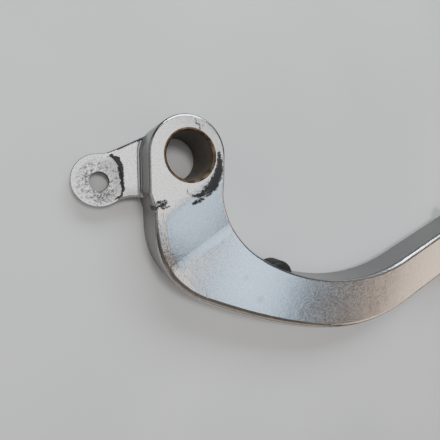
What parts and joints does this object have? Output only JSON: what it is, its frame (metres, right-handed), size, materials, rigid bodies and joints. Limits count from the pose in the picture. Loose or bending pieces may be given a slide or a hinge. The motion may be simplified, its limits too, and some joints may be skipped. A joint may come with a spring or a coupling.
{
  "type": "gear shift lever",
  "caption": "Curved cast motorcycle shift lever with a bushed pivot boss, a linkage ear, a rubber stop and a spring-loaded folding toe peg with a ribbed rubber.",
  "frame": {"origin": "on the pivot axis, halfway along the pivot boss", "axes": "+Z along the pivot axis to the outer side, +X along the lever from the pivot towards the toe peg, +Y the way the arm's hollow side faces"},
  "size_m": [0.2269, 0.0877, 0.0522],
  "materials": {
    "cast_silver": "satin silver metallic paint on cast aluminium, scuffed round the pivot",
    "bush_bronze": "worn bronze wrapped bush with a dark dry lining",
    "black_rubber": "black moulded rubber",
    "toe_silver": "satin silver metallic paint on forged aluminium",
    "hinge_bronze": "plain bronze",
    "bolt_steel": "zinc-plated steel",
    "washer_steel": "zinc-plated steel",
    "nut_steel": "zinc-plated steel",
    "nut_nylon": "blue nylon",
    "thrust_steel": "ground steel",
    "spring_steel": "bare spring steel",
    "peg_steel": "bright plated steel",
    "peg_rubber": "black ribbed rubber",
    "lock_washer_steel": "zinc-plated spring steel",
    "screw_steel": "zinc-plated steel"
  },
  "bodies": {
    "lever": {"lever_arm": "cast_silver", "pivot_bush": "bush_bronze", "stop_rubber": "black_rubber", "hinge_bolt": "bolt_steel", "nut_washer": "washer_steel", "hinge_nut": "nut_steel", "nut_ring": "nut_nylon", "hinge_washers": "thrust_steel", "torsion_spring": "spring_steel"},
    "toe_piece": {"toe_arm": "toe_silver", "hinge_bush": "hinge_bronze", "toe_peg": "peg_steel", "peg_rubber": "peg_rubber", "peg_washer": "lock_washer_steel", "peg_screw": "screw_steel"}
  },
  "joints": [
    {"name": "toe_fold", "type": "hinge", "parent": "lever", "child": "toe_piece", "pos_m": [0.1657, -0.03672, 0.00025], "axis": [0.3649, -0.9311, 0], "range_deg": [0, 85], "stiffness_Nm_per_rad": 0.1, "springref_deg": -57.3}
  ]
}
